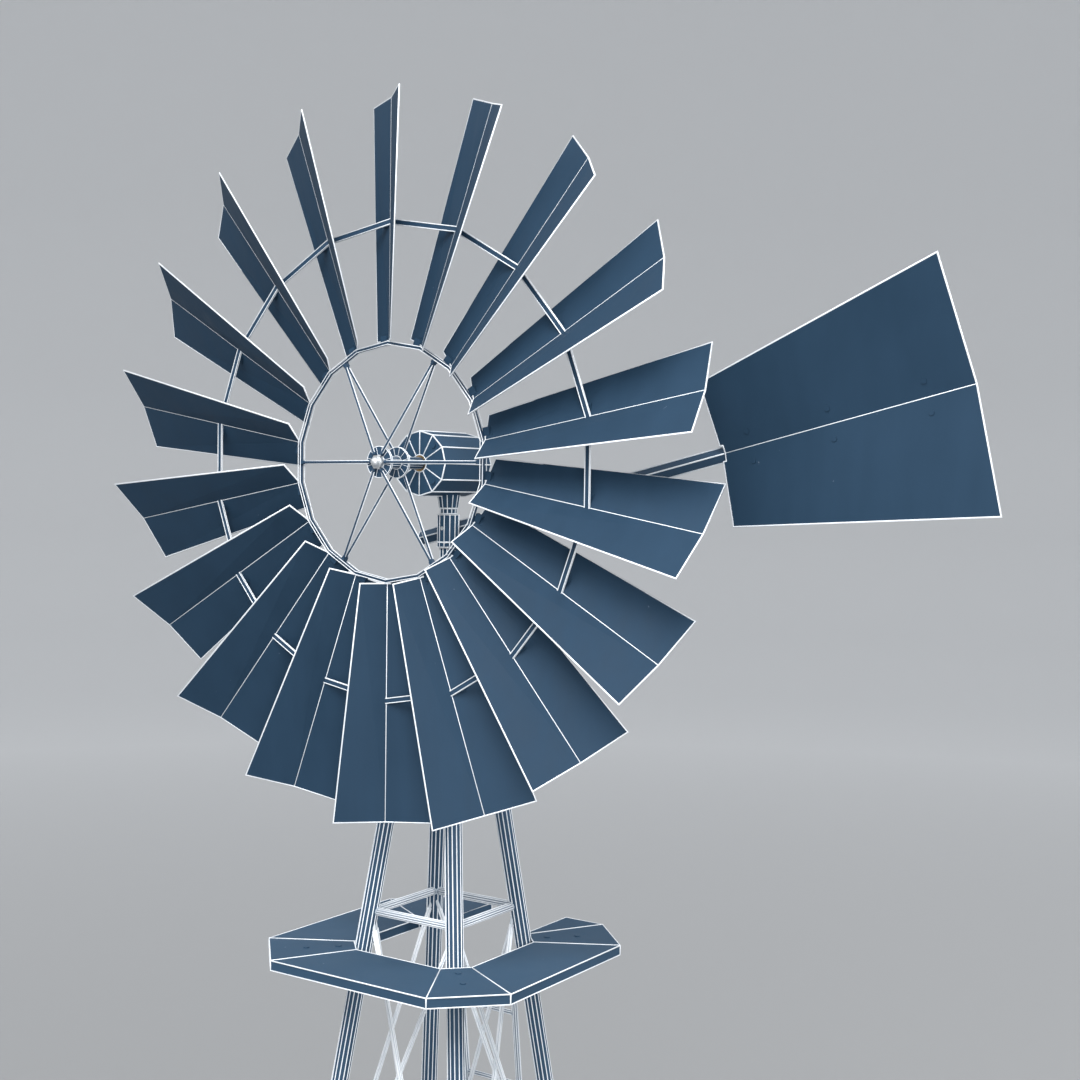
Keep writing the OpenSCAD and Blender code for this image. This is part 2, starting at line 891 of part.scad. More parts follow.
// Angle clip in the wedge between a ring's rear face and a blade's trailing half
module blade_clip(r, f, reach) {
    e = blade_xy(f, 1);
    slope = -e[1] / e[0];
    y0 = ring_t / 2 + seat_gap;
    lift = blade_t / 2 / cos(atan(slope)) + 2 * seat_gap;
    x0 = (y0 + lift + 0.3) / slope;
    x1 = x0 + reach;
    top = slope * x1 - lift;
    translate([0, 0, r])
        linear_extrude(height = blade_clip_w, center = true)
            polygon([[-x0, y0], [-x1, y0], [-x1, y0 + blade_clip_t],
                     [-x0 - 2.5, y0 + blade_clip_t], [-x1, top - 1.1 * blade_clip_t],
                     [-x1, top], [-x0, slope * x0 - lift]]);
}

module blade_clips() {
    outer_f = (outer_ring_r - blade_root_r) / blade_len;
    color(steel_blue)
        translate([0, wheel_y, hub_h])
            for (i = [0:blade_count - 1])
                rotate([0, i * blade_step, 0]) {
                    blade_clip(outer_ring_r - 1.5, outer_f, 9);
                    blade_clip(blade_root_r + 1.2, 0.03, 8);
                }
}

module hub_nut() {
    y = wheel_y - flange_out;
    dome_y = y - nut_h - 1.4;
    color(zinc)
        difference() {
            union() {
                on_axis(y - nut_h - 0.1, y - seat_gap, nut_r, 6);
                on_axis(dome_y, y - nut_h, nut_cap_r);
                translate([0, dome_y, hub_h])
                    intersection() {
                        sphere(r = nut_dome_r, $fn = 48);
                        translate([-10, -10, -10])
                            cube([20, 10, 20]);
                    }
            }
            on_axis(y - 3.2, y + 1, shaft_r + run_gap);
        }
}

// ---------- tail ----------

// Puts its children on the boom's corner line: Z runs out along the boom, X runs down
module on_boom() {
    translate([0, boom_y, hub_h - boom_drop])
        rotate([0, 90 - tail_rise, 0])
            children();
}

module tail_collar() {
    z = hub_h - boom_drop - tail_collar_h / 2;
    color(steel_blue)
        difference() {
            mast_ring(z, z + tail_collar_h, tail_collar_r, mast_r + run_gap);
            translate([0, -mast_r + 1, z + tail_collar_h / 2])
                rotate([90, 0, 0])
                    cylinder(h = 20, r = clamp_r + seat_gap, $fn = wire_fn);
        }
}

module clamp_screw() {
    z = hub_h - boom_drop;
    color(zinc)
        translate([0, -mast_r - 0.1, z])
            rotate([90, 0, 0])
                difference() {
                    cylinder(h = tail_collar_r - mast_r - 0.4, r = clamp_r, $fn = wire_fn);
                    translate([0, 0, 1])
                        cylinder(h = 5, r = clamp_key_r, $fn = 6);
                }
}

module tail_boom() {
    k = boom_leg / sqrt(2);
    t = boom_t / sqrt(2);
    color(steel_blue)
        on_boom()
            translate([0, 0, -boom_back])
                linear_extrude(height = boom_back + vane_start + vane_len - 12)
                    polygon([[0, 0], [k, k], [k - t, k + t], [0, 2 * t],
                             [t - k, k + t], [-k, k]]);
}

// Places its children at the rivets, square to each half of the vane
module at_rivets() {
    for (z = clip_stations)
        for (s = [-1, 1]) {
            fold = s > 0 ? vane_fold_low : vane_fold_up;
            translate([s * clip_foot, -clip_foot * tan(fold), z])
                rotate([0, 0, -s * fold])
                    rotate([-90, 0, 0])
                        children();
        }
}

module rivet_holes(shift) {
    translate([0, 0, shift])
        at_rivets()
            cylinder(h = 14, r = rivet_hole_r, center = true, $fn = wire_fn);
}

// Folded sheet in front of the boom, cut to its taper along both edges
module tail_vane() {
    up = [-cos(vane_fold_up), -sin(vane_fold_up)];
    low = [cos(vane_fold_low), -sin(vane_fold_low)];
    up_n = [-sin(vane_fold_up), cos(vane_fold_up)];
    low_n = [sin(vane_fold_low), cos(vane_fold_low)];
    front = [0, -vane_t - 2 * seat_gap];
    rear = [0, -2 * seat_gap];
    long = vane_far_h + 5;
    color(steel_blue)
        on_boom()
            translate([0, 0, vane_start])
                difference() {
                    linear_extrude(height = vane_len)
                        polygon([front, front + long * low,
                                 front + long * low + vane_t * low_n,
                                 rear,
                                 front + long * up + vane_t * up_n,
                                 front + long * up]);
                    vane_taper(1, cos(vane_fold_low));
                    vane_taper(-1, cos(vane_fold_up));
                    translate([-notch_half, -far / 2, -1])
                        cube([2 * notch_half, far, notch_len + 1]);
                    rivet_holes(0);
                }
}

// Wedge that trims one edge of the vane
module vane_taper(side, squash) {
    near = side * vane_near_h * squash;
    edge = side * vane_far_h * squash;
    slope = (edge - near) / vane_len;
    rotate([90, 0, 0])
        translate([0, 0, -far / 2])
            linear_extrude(height = far)
                polygon([[near - 2 * slope, -2], [edge + 2 * slope, vane_len + 2],
                         [side * 300, vane_len + 2], [side * 300, -2]]);
}

// Straps that hold the boom to the back of the vane
module vane_clips() {
    lift = 0.4;
    k = boom_leg / sqrt(2);
    top = k + boom_t / sqrt(2) + 0.3;
    inner = k + clip_t;
    outer = k + 2 * clip_t;
    low = tan(vane_fold_low);
    up = tan(vane_fold_up);
    color(dark_steel)
        on_boom()
            for (z = clip_stations)
                translate([0, 0, vane_start + z])
                    difference() {
                        linear_extrude(height = clip_width, center = true)
                            polygon([[clip_reach, lift - clip_reach * low],
                                     [clip_reach, lift + clip_t - clip_reach * low],
                                     [outer, lift + clip_t - outer * low],
                                     [outer - 0.8, top + clip_t], [0.8 - outer, top + clip_t],
                                     [-outer, lift + clip_t - outer * up],
                                     [-clip_reach, lift + clip_t - clip_reach * up],
                                     [-clip_reach, lift - clip_reach * up],
                                     [-inner, lift - inner * up], [0.8 - inner, top],
                                     [inner - 0.8, top], [inner, lift - inner * low]]);
                        rivet_holes(-z);
                    }
}

module vane_rivets() {
    color(steel_blue)
        on_boom()
            translate([0, 0, vane_start])
                at_rivets() {
                    translate([0, 0, -1.8])
                        cylinder(h = 3.8, r = rivet_r, $fn = wire_fn);
                    translate([0, 0, 1.75])
                        cylinder(h = 1, r = rivet_head_r, $fn = wire_fn);
                    translate([0, 0, -1.95])
                        cylinder(h = 0.6, r = rivet_head_r, $fn = wire_fn);
                }
}

leg(corners[0]);  // leg_front_left
leg(corners[1]);  // leg_front_right
leg(corners[2]);  // leg_rear_right
leg(corners[3]);  // leg_rear_left
foot_plates();
tower_cap();
cap_bolts();
mast_bushes();
thrust_washer();
brace_rings();
cross_rods();
walkway_deck();
walkway_skirts();
walkway_arms();
walkway_bolts();
ladder_rails();
ladder_rungs();
ladder_clips();
mast();
mast_collars();
mast_flare();
gear_case();
front_cover();
rear_cover();
cover_screws();
front_bearing();
rear_bearing();
main_shaft();
shaft_collars();
hub_sleeve();
hub_flanges();
spokes();
outer_ring();
inner_ring();
blade_clips();
hub_nut();
tail_collar();
clamp_screw();
tail_boom();
tail_vane();
vane_clips();
vane_rivets();
blade(0);  // blade_01
blade(1);  // blade_02
blade(2);  // blade_03
blade(3);  // blade_04
blade(4);  // blade_05
blade(5);  // blade_06
blade(6);  // blade_07
blade(7);  // blade_08
blade(8);  // blade_09
blade(9);  // blade_10
blade(10);  // blade_11
blade(11);  // blade_12
blade(12);  // blade_13
blade(13);  // blade_14
blade(14);  // blade_15
blade(15);  // blade_16
blade(16);  // blade_17
blade(17);  // blade_18
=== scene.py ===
"""Garden windmill: the looks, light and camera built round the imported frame. Metres, +Z up."""
import json
import math

import bpy
from mathutils import Matrix, Vector


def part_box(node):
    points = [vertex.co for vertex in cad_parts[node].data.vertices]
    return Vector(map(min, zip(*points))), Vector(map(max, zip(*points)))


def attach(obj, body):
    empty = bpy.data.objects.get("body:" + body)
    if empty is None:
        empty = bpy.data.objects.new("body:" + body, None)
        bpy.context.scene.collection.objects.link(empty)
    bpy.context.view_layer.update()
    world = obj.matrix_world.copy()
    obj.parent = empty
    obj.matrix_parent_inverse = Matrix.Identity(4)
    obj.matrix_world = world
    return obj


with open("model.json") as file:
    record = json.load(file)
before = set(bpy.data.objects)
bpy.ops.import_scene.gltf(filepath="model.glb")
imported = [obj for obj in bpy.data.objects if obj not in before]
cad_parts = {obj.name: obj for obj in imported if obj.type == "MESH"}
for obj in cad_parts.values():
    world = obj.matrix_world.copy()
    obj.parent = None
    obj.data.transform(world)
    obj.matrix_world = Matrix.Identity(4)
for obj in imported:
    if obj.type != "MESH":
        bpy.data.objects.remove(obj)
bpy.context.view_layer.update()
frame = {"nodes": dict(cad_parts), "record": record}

MM = 0.001
NODES = frame["nodes"]


# ---------- places taken from the CAD ----------

def middle(node):
    """Middle of the node's box."""
    low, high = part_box(node)
    return (low + high) / 2


def corners_of(node):
    """The node's vertices, each place once."""
    return [Vector(p) for p in {tuple(round(c, 6) for c in v.co)
                                for v in NODES[node].data.vertices}]


HUB_Z = middle("main_shaft").z
WHEEL_Y = middle("outer_ring").y
HUB = Vector((0, WHEEL_Y, HUB_Z))
RIGHT = Vector((1, 0, 0))
BACK = Vector((0, 1, 0))
UP = Vector((0, 0, 1))

# ---------- design sizes that the boxes don't give ----------

# Wheel
BLADES = 18
SHEET_HALF = 0.5 * MM
SPOKES = 6
SPOKE_R = 1.15 * MM
SPOKE_NEAR = 9.2 * MM
SPOKE_NEAR_OUT = 16.2 * MM
SPOKE_FAR = 107.6 * MM
SPOKE_FAR_OUT = 1.75 * MM
SLEEVE_R = 6.1 * MM
FLANGE_R = 15 * MM
FLANGE_OUT = 14 * MM
FLANGE_T = 2 * MM

# Head
CASE_R = 32.2 * MM
CASE_SIDES = 12
COVER_HOLE_R = 8.2 * MM
MAST_R = 8.5 * MM
COLLAR_R = 11 * MM
COLLAR_H = 5 * MM
END_PLAY = 0.3 * MM
FLARE_R = 9.4 * MM
FLARE_H = 16.5 * MM
FLARE_GROWTH = 2.6 * MM

# Tail
TAIL_RISE = math.radians(13.75)
BOOM_LEG = 10 * MM
BOOM_BACK = 51 * MM
BOOM_DROP = 65 * MM
BOOM_Y = 11.1 * MM
VANE_START = 315.5 * MM
NOTCH_HALF = 7.5 * MM
NOTCH_LEN = 3 * MM

# Tower
LEAN = 0.1185
LEG_R = 8.5 * MM
LEG_TOP = HUB_Z - 162 * MM
LEGS = {"leg_front_left": (-1, -1), "leg_front_right": (1, -1),
        "leg_rear_right": (1, 1), "leg_rear_left": (-1, 1)}
FOOT_T = 4 * MM
SOCKET_H = 32 * MM
BRACE_R = 3.5 * MM
BRACE_INSET = 2.5 * MM
BRACE_TOP_DROP = 0.455
BRACE_PITCH = 0.430
BRACE_COUNT = 4
ROD_R = 1.75 * MM
ROD_INSET = 3.5 * MM
ROD_OFFSET = 1.9 * MM
ROD_END_GAP = 6 * MM
CAP_RIM_R = 37.4 * MM
CAP_PLATE_T = 5 * MM
CAP_SLEEVE_RIM_R = 13.6 * MM

# Walkway and ladder
DECK_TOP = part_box("walkway_deck")[1].z
DECK_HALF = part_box("walkway_deck")[1].x
DECK_SIDE = 97 * MM
WELL_HALF = 75 * MM
WELL_SIDE = 53.5 * MM
GAP_HALF = 50 * MM
LADDER_HALF = 34.5 * MM
LADDER_OFF = 11 * MM
RAIL_R = 3.0 * MM
RUNG_R = 2.25 * MM
RUNG_DROP = 0.579
RUNG_PITCH = 0.079
RUNG_COUNT = 19

# How far the centre of a raised line stands in from, or out of, the tube that carries it
SUNK = 0.05 * MM
PROUD = 0.2 * MM


def step_angle(k, count):
    """Angle of the k-th of count equal steps round a turn."""
    return 2 * math.pi * k / count


def clock_point(angle, radius, y):
    """Place round the shaft's line, its angle counted from straight up towards +X."""
    return Vector((math.sin(angle) * radius, y, HUB_Z + math.cos(angle) * radius))


def half_at(z):
    """Half-width of the tower to the legs' centre lines, at height z."""
    return LEAN * (HUB_Z - z)


def leg_point(corner, z):
    """Place on the centre line of the leg at this corner, at height z."""
    return Vector((corner[0] * half_at(z), corner[1] * half_at(z), z))


def brace_z(i):
    """Height of a brace ring, counted from the top one."""
    return HUB_Z - BRACE_TOP_DROP - i * BRACE_PITCH


def rung_z(i):
    """Height of a rung, counted from the top one."""
    return HUB_Z - RUNG_DROP - i * RUNG_PITCH


def ladder_point(side, z):
    """Place on the centre line of a ladder rail, at height z."""
    return Vector((side * LADDER_HALF, half_at(z) + LADDER_OFF, z))


def face_turns():
    """Turns that carry the tower's front face to each of its four faces."""
    return [Matrix.Rotation(math.radians(90 * a), 3, "Z") for a in range(4)]


# ---------- materials ----------

def add(tree, kind, place, **inputs):
    """New shader node with its inputs set."""
    node = tree.nodes.new(kind)
    node.location = place
    for name, value in inputs.items():
        node.inputs[name.replace("_", " ")].default_value = value
    return node


def mix_colours(tree, place, factor, a, b):
    """Mix of two colours. The factor and the colours are numbers or sockets."""
    node = tree.nodes.new("ShaderNodeMix")
    node.data_type = "RGBA"
    node.location = place
    for socket, value in ((0, factor), (6, a), (7, b)):
        if hasattr(value, "is_linked"):
            tree.links.new(value, node.inputs[socket])
        else:
            node.inputs[socket].default_value = value
    return node.outputs[2]


def ranged(tree, place, value, low, high, to_low, to_high):
    """The socket's value, carried from one range to another."""
    node = tree.nodes.new("ShaderNodeMapRange")
    node.location = place
    tree.links.new(value, node.inputs["Value"])
    for name, number in (("From Min", low), ("From Max", high),
                         ("To Min", to_low), ("To Max", to_high)):
        node.inputs[name].default_value = number
    return node.outputs["Result"]


def noise(tree, place, source, scale, detail, rough, stretch=None):
    """Noise over the object, with its axes scaled by stretch."""
    if stretch:
        mapping = add(tree, "ShaderNodeMapping", (place[0] - 200, place[1]), Scale=stretch)
        tree.links.new(source, mapping.inputs["Vector"])
        source = mapping.outputs["Vector"]
    node = add(tree, "ShaderNodeTexNoise", place, Scale=scale, Detail=detail, Roughness=rough)
    tree.links.new(source, node.inputs["Vector"])
    return node.outputs["Fac"]


def material(name, dark, light, rough=(0.46, 0.6), metal=0.0, grain=900.0, bump=0.12,
             depth=0.0002, worn=None, worn_from=0.70, streak=(40, 40, 2.5), specular=0.18,
             mottle=5.0):
    """Procedural finish: slow colour drift, run-down streaks, sparse worn specks, fine grain."""
    made = bpy.data.materials.new(name)
    made.use_nodes = True
    tree = made.node_tree
    shader = tree.nodes["Principled BSDF"]
    shader.location = (700, 0)
    shader.inputs["Metallic"].default_value = metal
    shader.inputs["Specular IOR Level"].default_value = specular
    where = add(tree, "ShaderNodeTexCoord", (-1300, 0)).outputs["Object"]

    drift = noise(tree, (-900, 300), where, mottle, 4.0, 0.55)
    drift = ranged(tree, (-700, 300), drift, 0.35, 0.65, 0.0, 1.0)
    colour = mix_colours(tree, (-450, 300), drift, (*dark, 1), (*light, 1))

    runs = noise(tree, (-900, 0), where, 1.0, 3.0, 0.6, streak)
    runs = ranged(tree, (-700, 0), runs, 0.3, 0.7, 0.0, 1.0)
    paler = tuple(min(1.0, c * 1.22) for c in light)
    soft = ranged(tree, (-450, 0), runs, 0.0, 1.0, 0.0, 0.35)
    colour = mix_colours(tree, (-200, 300), soft, colour, (*paler, 1))
    matt = ranged(tree, (100, 0), runs, 0.0, 1.0, rough[0], rough[1])
    tree.links.new(matt, shader.inputs["Roughness"])

    if worn:
        chips = noise(tree, (-900, -600), where, 150.0, 5.0, 0.62)
        chips = ranged(tree, (-700, -600), chips, worn_from, worn_from + 0.03, 0.0, 0.8)
        colour = mix_colours(tree, (100, 300), chips, colour, (*worn, 1))
    tree.links.new(colour, shader.inputs["Base Color"])

    grains = noise(tree, (-900, -300), where, grain, 2.0, 0.6)
    dent = add(tree, "ShaderNodeBump", (400, -300), Strength=bump, Distance=depth)
    tree.links.new(grains, dent.inputs["Height"])
    tree.links.new(dent.outputs["Normal"], shader.inputs["Normal"])
    return made


PRIMER = (0.20, 0.25, 0.31)
blade_paint = material("slate_blue_blades", (0.0165, 0.0400, 0.0720), (0.0215, 0.0490, 0.0865),
                       worn=PRIMER, worn_from=0.735, specular=0.1)
vane_paint = material("slate_blue_vane", (0.0150, 0.0365, 0.0650), (0.0190, 0.0440, 0.0780),
                      worn=PRIMER, worn_from=0.735, specular=0.1)
# Lighter copy of the slate-blue paint: painted light that offsets the deck's shadow on the legs and
# the wheel's shadow on the boom
leg_paint = material("slate_blue_tube_painted_light", (0.0280, 0.0620, 0.1080), (0.0360, 0.0760, 0.1300),
                     worn=PRIMER, streak=(60, 60, 1.5))
# Lighter copy of the slate-blue paint for the head: painted light that offsets the wheel's shadow
# on the gear case
head_paint = material("slate_blue_head_painted_light", (0.0230, 0.0540, 0.0950), (0.0290, 0.0650, 0.1130),
                      worn=PRIMER, worn_from=0.72, specular=0.08)
# Lighter copy of the slate-blue paint: painted light standing in for the light from above on the
# deck's top
deck_paint = material("slate_blue_deck_painted_light", (0.0240, 0.0560, 0.0970), (0.0310, 0.0680, 0.1170),
                      rough=(0.5, 0.64), worn=PRIMER, worn_from=0.70, streak=(9, 9, 9))
brace_paint = material("pale_brace", (0.19, 0.23, 0.28), (0.28, 0.32, 0.37),
                       rough=(0.35, 0.55), worn=(0.15, 0.18, 0.22), worn_from=0.68)
rod_paint = material("pale_rod", (0.50, 0.55, 0.60), (0.62, 0.66, 0.70),
                     rough=(0.35, 0.55), worn=(0.30, 0.34, 0.38), worn_from=0.70)
wheel_steel = material("slate_blue_wheel_bar", (0.0200, 0.0460, 0.0820), (0.0250, 0.0550, 0.0980),
                       worn=PRIMER, worn_from=0.72)
bright_edge = material("bright_rolled_edge", (0.74, 0.79, 0.84), (0.86, 0.90, 0.94),
                       rough=(0.26, 0.4), metal=0.1, bump=0.2, mottle=30.0,
                       worn=(0.52, 0.58, 0.65), worn_from=0.72)
dark_iron = material("dark_blue_iron", (0.022, 0.036, 0.056), (0.034, 0.053, 0.080),
                     rough=(0.5, 0.68), grain=500.0, bump=0.5, depth=0.0005,
                     worn=(0.14, 0.12, 0.11), worn_from=0.69)
zinc = material("zinc_plate", (0.52, 0.54, 0.56), (0.68, 0.70, 0.71), rough=(0.38, 0.55),
                metal=0.85, specular=0.5, mottle=40.0)
bronze = material("bearing_bronze", (0.42, 0.26, 0.11), (0.55, 0.36, 0.16),
                  rough=(0.25, 0.4), metal=1.0, specular=0.5, mottle=40.0)
weld_steel = material("painted_weld", (0.30, 0.36, 0.42), (0.48, 0.54, 0.60),
                      rough=(0.35, 0.5), grain=420.0, bump=0.8, depth=0.0006, mottle=60.0)

FINISHES = {
    "leg_paint": leg_paint, "head_paint": head_paint, "blade_paint": blade_paint,
    "vane_paint": vane_paint, "deck_paint": deck_paint, "brace_paint": brace_paint,
    "wheel_steel": wheel_steel, "dark_iron": dark_iron, "zinc": zinc, "bronze": bronze,
}

for part in frame["record"]["subparts"]:
    node = NODES[part["node"]]
    node.data.materials.clear()
    node.data.materials.append(FINISHES[part["material_slot"]])
# the rods are paler than the rings they cross; the boom takes the legs' lighter paint, painted
# light that offsets the shadow the wheel casts on it
NODES["cross_rods"].data.materials[0] = rod_paint
NODES["tail_boom"].data.materials[0] = leg_paint


# ---------- mesh making ----------

def circle(centre, u, v, radius, count, first=0.0):
    """Places round a circle, from u towards v, turned by that share of a step."""
    places = []
    for k in range(count):
        a = step_angle(k + first, count)
        places.append(Vector(centre) + (u * math.cos(a) + v * math.sin(a)) * radius)
    return places


class Work:
    """Gathers tubes, rings and domes, then turns them into one piece."""

    def __init__(self):
        self.points = []
        self.faces = []

    def skin(self, rings, closed=False):
        """Faces between neighbouring rings of points."""
        start, n, sides = len(self.points), len(rings), len(rings[0])
        self.points += [p for ring in rings for p in ring]
        offset = 0
        if closed:
            # the last ring meets the first one at its nearest corner
            gaps = [(p - rings[-1][0]).length for p in rings[0]]
            offset = gaps.index(min(gaps))
        for i in range(n if closed else n - 1):
            j = (i + 1) % n
            shift = offset if j == 0 else 0
            here, there = start + i * sides, start + j * sides
            for k in range(sides):
                k2 = (k + 1) % sides
                self.faces.append((here + k, here + k2, there + (k2 + shift) % sides,
                                   there + (k + shift) % sides))

    def cone(self, start, sides, tip, flip):
        """Low cone over the ring whose first point has the number start."""
        top = len(self.points)
        self.points.append(tip)
        for k in range(sides):
            a, b = start + k, start + (k + 1) % sides
            self.faces.append((b, a, top) if flip else (a, b, top))

    def tube(self, line, r, sides=8, closed=False, ripple=0.0):
        """Round bar along a line of points, mitred at the corners and rounded at open ends."""
        line = [Vector(p) for p in line]
        n = len(line)
        spans = n if closed else n - 1
        ways = [(line[(i + 1) % n] - line[i]).normalized() for i in range(spans)]
        last = ways[-1] if closed else ways[0]
        side = last.cross(UP if abs(last.z) < 0.9 else BACK).normalized()
        rings = []
        for i in range(n):
            before = ways[i - 1] if (i or closed) else ways[0]
            after = ways[i] if i < spans else ways[-1]
            if i:
                side = last.rotation_difference(before) @ side
            last = before
            side = (side - side.dot(before) * before).normalized()
            plane = before + after
            plane = plane.normalized() if plane.length > 1e-6 else before
            swell = r * (1 + ripple * math.sin(i * 2.4))
            ring = []
            for arm in circle((0, 0, 0), side, before.cross(side), swell, sides):
                slide = -arm.dot(plane) / max(0.35, before.dot(plane))
                ring.append(line[i] + arm + before * slide)
            rings.append(ring)
        start = len(self.points)
        self.skin(rings, closed)
        if not closed:
            self.cone(start, sides, line[0] - ways[0] * r * 0.7, True)
            self.cone(start + (n - 1) * sides, sides, line[-1] + ways[-1] * r * 0.7, False)

    def ring(self, centre, axis, radius, r, count=48):
        """Round bar bent to a circle whose axis lies along Y or Z."""
        u = BACK if axis.z else UP
        self.tube(circle(centre, u, axis.cross(u), radius, count), r, 6, closed=True)

    def lines_along(self, start, end, r, bead, count=12, sides=6, first=0.0, side=-BACK):
        """Fine lines along a round bar, the first on the given side of it or turned from
        there by that share of their spacing."""
        start, end = Vector(start), Vector(end)
        way = (end - start).normalized()
        v = (side - way * side.dot(way)).normalized()
        for arm in circle((0, 0, 0), v, v.cross(way).normalized(), r, count, first):
            self.tube([start + arm, end + arm], bead, sides)

    def lathe(self, centre, axis, profile, count):
        """Turned shape: profile is (radius, distance along the axis) from one end to the other."""
        axis = axis.normalized()
        u = axis.orthogonal().normalized()
        v = axis.cross(u)
        self.skin([circle(centre + axis * along, u, v, max(radius, 1e-5), count)
                   for radius, along in profile])

    def dome(self, base, way, r, height, count):
        """Low round rivet head standing on base."""
        steps = 5
        profile = [(r, -height * 0.3)]
        for i in range(steps + 1):
            a = i / steps * math.pi / 2
            profile.append((r * math.cos(a), height * math.sin(a)))
        self.lathe(base, way, profile, count)

    def saddle(self, start, way, tube_r, post_point, post_way, post_r, bead, count=28):
        """Weld bead where a round bar that runs from start along way meets a round post."""
        post_way = post_way.normalized()
        u = way.orthogonal().normalized()
        v = way.cross(u)
        w = way - post_way * way.dot(post_way)
        line = []
        for p in circle(start, u, v, tube_r, count):
            d = p - post_point
            d -= post_way * d.dot(post_way)
            # where the bar's surface line first meets the post's
            qa, qb, qc = w.dot(w), 2 * d.dot(w), d.dot(d) - post_r * post_r
            root = max(0.0, qb * qb - 4 * qa * qc)
            line.append(p + way * ((-qb - math.sqrt(root)) / (2 * qa)))
        self.tube(line, bead, 6, closed=True, ripple=0.22)

    def piece(self, name, body, finish):
        """One smooth mesh piece that rides on the body."""
        data = bpy.data.meshes.new(name)
        data.from_pydata([tuple(p) for p in self.points], [], self.faces)
        data.validate()
        data.materials.append(finish)
        made = bpy.data.objects.new(name, data)
        bpy.context.scene.collection.objects.link(made)
        for face in data.polygons:
            face.use_smooth = True
        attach(made, body)


# ---------- wheel ----------

# Radii of the rolled edges and creases of the blades and the vane
EDGE_R = 0.78 * MM
CREASE_R = 0.70 * MM

# A blade's clips: share of the blade's length, and the rivets' distance from the crease
CLIPS = ((0.022, 5.2 * MM), (0.488, 6.8 * MM))
RIVET_R = 1.1 * MM
RIVET_H = 0.5 * MM
RIVET_STEP = 2 * MM


def blade_corners(node, turn):
    """Corners of a folded blade in the middle of its sheet: the trailing corner, the crease
    and the leading corner of its inner end, then those of its outer end."""
    out = Vector((math.sin(turn), 0, math.cos(turn)))
    across = Vector((math.cos(turn), 0, -math.sin(turn)))
    local = [((p - HUB).dot(out), (p - HUB).dot(across), p) for p in corners_of(node)]
    ends = []
    for pick in (min, max):
        edge = pick(along for along, aside, p in local)
        six = sorted((x for x in local if abs(x[0] - edge) < 2e-5), key=lambda x: x[1])
        ends.append([(six[i][2] + six[i + 1][2]) / 2 for i in (0, 2, 4)])
    return ends


def clip_rivets(work, inner, outer):
    """Two rivets through each clip of a blade, in its trailing half."""
    along = outer[1] - inner[1]
    for share, width in CLIPS:
        spot = inner[1] + along * share
        side = (inner[0] + (outer[0] - inner[0]) * share - spot).normalized()
        face = along.cross(side).normalized()
        if face.y > 0:
            face = -face
        for step in (-RIVET_STEP, RIVET_STEP):
            base = spot + side * width + along.normalized() * step + face * SHEET_HALF
            work.dome(base, face, RIVET_R, RIVET_H, 12)


def make_blades():
    """A bright rolled edge with its crease on each blade, and all the rivets as one piece."""
    rivets = Work()
    for i in range(BLADES):
        number = "%02d" % (i + 1)
        inner, outer = blade_corners("blade_" + number, step_angle(i, BLADES))
        edge = Work()
        edge.tube(inner + outer[::-1], EDGE_R, closed=True)
        edge.tube([inner[1], outer[1]], CREASE_R)
        clip_rivets(rivets, inner, outer)
        edge.piece("blade_edge_" + number, "wheel", bright_edge)
    rivets.piece("blade_rivets", "wheel", blade_paint)


def corner_radii(node):
    """Distances from the shaft of the vertices at each of a wheel ring's corners."""
    step = 360 / BLADES
    radii = [set() for k in range(BLADES)]
    for p in corners_of(node):
        d = p - HUB
        angle = round(math.degrees(math.atan2(d.x, d.z)) % 360, 1) % 360
        nearest = round(angle / step)
        if abs(angle / step - nearest) < 0.01:
            radii[nearest % BLADES].add(round(math.hypot(d.x, d.z), 5))
    return radii


def make_ring_edges():
    """Edge lines on the outer and the inner ring."""
    rims = Work()
    for node, bead in (("outer_ring", 0.5 * MM), ("inner_ring", 0.42 * MM)):
        low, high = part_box(node)
        radii = corner_radii(node)
        for pick in (min, max):
            for y in (low.y, high.y):
                rims.tube([clock_point(step_angle(k, BLADES), pick(radii[k]), y)
                           for k in range(BLADES)], bead, closed=True)
    rims.piece("ring_edges", "wheel", bright_edge)


def flange_lines(work, y):
    """Rim, bore and sector lines on one face of a hub flange."""
    bore = SLEEVE_R + 0.5 * MM
    work.ring((0, y, HUB_Z), BACK, FLANGE_R, 0.4 * MM)
    work.ring((0, y, HUB_Z), BACK, bore, 0.35 * MM, 32)
    for k in range(12):
        a = step_angle(k + 0.5, 12)
        work.tube([clock_point(a, bore, y), clock_point(a, FLANGE_R, y)], 0.25 * MM, 6)


def sleeve_lines(work):
    """Fine lines along the hub sleeve."""
    low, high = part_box("hub_sleeve")
    r = SLEEVE_R - 0.1 * MM
    for k in range(12):
        a = step_angle(k, 12)
        work.tube([clock_point(a, r, low.y + 1 * MM), clock_point(a, r, high.y - 1 * MM)],
                  0.3 * MM, 6)


def spoke_weld(work, spot, way, r):
    """Barrel of weld of radius r round a spoke's end."""
    work.lathe(spot, way, [(0.9 * MM, -1.7 * MM), (r, -0.9 * MM), (r + 0.1 * MM, 0),
                           (0.92 * r, 0.8 * MM), (SPOKE_R, 1.9 * MM)], 14)


